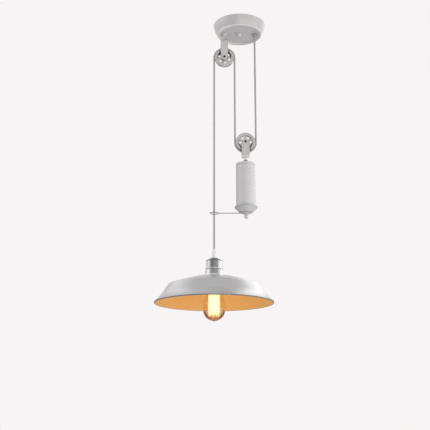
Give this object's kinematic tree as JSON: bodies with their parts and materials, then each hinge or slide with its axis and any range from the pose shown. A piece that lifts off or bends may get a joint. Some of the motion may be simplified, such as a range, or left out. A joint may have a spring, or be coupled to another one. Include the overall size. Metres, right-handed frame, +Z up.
{
  "type": "rise and fall pendant lamp",
  "caption": "Rise and fall pendant: a shallow metal shade with bare bulb on a cord over a ceiling pulley, balanced by a cylinder hung from a moving pulley.",
  "frame": {"origin": "middle of the canopy on the ceiling plane", "axes": "+Z up out of the canopy, -X towards the lamp's side, -Y towards the viewer of the front; all cords and wheels lie in the XZ plane"},
  "size_m": [0.35, 0.35, 0.9403],
  "materials": {
    "satin_metal": "satin",
    "plated_fastener": "satin",
    "polished_wheel": "polished",
    "dark_collar": "satin",
    "black_bolt": "satin",
    "bracket_steel": "matte",
    "cast_slug": "matte",
    "bronze_bush": "satin",
    "brass_contact": "satin",
    "cord_braid": "matte",
    "grip_plastic": "satin",
    "gland_plastic": "satin",
    "block_plastic": "matte",
    "shade_enamel": "gloss",
    "neck_metal": "polished",
    "ring_plastic": "satin",
    "glazed_insert": "gloss",
    "core_sleeve": "matte",
    "amber_glass": "gloss",
    "clear_glass": "gloss",
    "black_insulator": "gloss",
    "solder": "satin",
    "hot_filament": "matte",
    "support_wire": "satin"
  },
  "bodies": {
    "ceiling_part": {"ceiling_bracket": "bracket_steel", "centre_stud": "plated_fastener", "bracket_nut": "plated_fastener", "earth_screw": "brass_contact", "canopy_cover": "satin_metal", "cap_nut": "satin_metal", "terminal_block": "block_plastic", "terminal_screws": "brass_contact", "cord_grip": "grip_plastic", "cord_grip_nut": "grip_plastic", "cord_tail": "cord_braid", "upper_stud": "plated_fastener", "upper_stud_nuts": "plated_fastener", "upper_collar": "satin_metal", "upper_fork": "satin_metal", "upper_axle_bolt": "black_bolt", "upper_axle_nut": "plated_fastener", "upper_axle_sleeve": "plated_fastener", "cord_over_upper_pulley": "cord_braid"},
    "upper_pulley": {"upper_pulley_wheel": "polished_wheel", "upper_pulley_bush": "bronze_bush"},
    "counterweight": {"lower_fork": "satin_metal", "lower_axle_bolt": "black_bolt", "lower_axle_nut": "plated_fastener", "lower_axle_sleeve": "plated_fastener", "lower_fork_nut": "plated_fastener", "lower_collar": "dark_collar", "tie_rod": "plated_fastener", "weight_cap": "satin_metal", "weight_casing": "satin_metal", "ballast_slug": "cast_slug", "weight_base": "satin_metal", "weight_finial": "satin_metal", "guide_arm": "satin_metal", "cord_mid_run": "cord_braid", "cord_anchor_run": "cord_braid", "cord_under_lower_pulley": "cord_braid"},
    "lower_pulley": {"lower_pulley_wheel": "polished_wheel", "lower_pulley_bush": "bronze_bush"},
    "lamp": {"cord_lamp_run": "cord_braid", "cord_lamp_end": "cord_braid", "cord_gland": "gland_plastic", "gland_nut": "gland_plastic", "holder_cup": "neck_metal", "neck_ring": "neck_metal", "shade_gallery": "neck_metal", "shade": "shade_enamel", "clamping_ring": "ring_plastic", "socket_insert": "glazed_insert", "screw_shell": "brass_contact", "socket_contacts": "brass_contact", "lead_cores": "core_sleeve"},
    "bulb": {"bulb_glass": "amber_glass", "bulb_screw_cap": "brass_contact", "bulb_insulator": "black_insulator", "bulb_tip_contact": "solder", "bulb_stem": "clear_glass", "bulb_filament": "hot_filament", "filament_supports": "support_wire"}
  },
  "joints": [
    {"name": "counterweight_travel", "type": "slide", "parent": "ceiling_part", "child": "counterweight", "axis": [0, 0, 1], "range_m": [-0.0325, 0.23], "deforming": ["cord_mid_run", "cord_anchor_run"]},
    {"name": "lamp_travel", "type": "slide", "parent": "ceiling_part", "child": "lamp", "axis": [0, 0, 1], "range_m": [-0.4605, 0.0655], "deforming": ["cord_lamp_run"]},
    {"name": "upper_pulley_spin", "type": "hinge", "parent": "ceiling_part", "child": "upper_pulley", "pos_m": [-0.048, 0, -0.11], "axis": [0, 1, 0], "range_deg": [-835, 125]},
    {"name": "lower_pulley_spin", "type": "hinge", "parent": "counterweight", "child": "lower_pulley", "pos_m": [0.016, 0, -0.392], "axis": [0, 1, 0], "range_deg": [-65, 420]},
    {"name": "bulb_withdraw", "type": "slide", "parent": "lamp", "child": "bulb", "axis": [0, 0, -1], "range_m": [0, 0.027]}
  ],
  "couplings": [
    {"joint": "lamp_travel", "follows": "counterweight_travel", "ratio": -2},
    {"joint": "upper_pulley_spin", "follows": "counterweight_travel", "rad_per_m": -62.5},
    {"joint": "lower_pulley_spin", "follows": "counterweight_travel", "rad_per_m": 31.25}
  ]
}
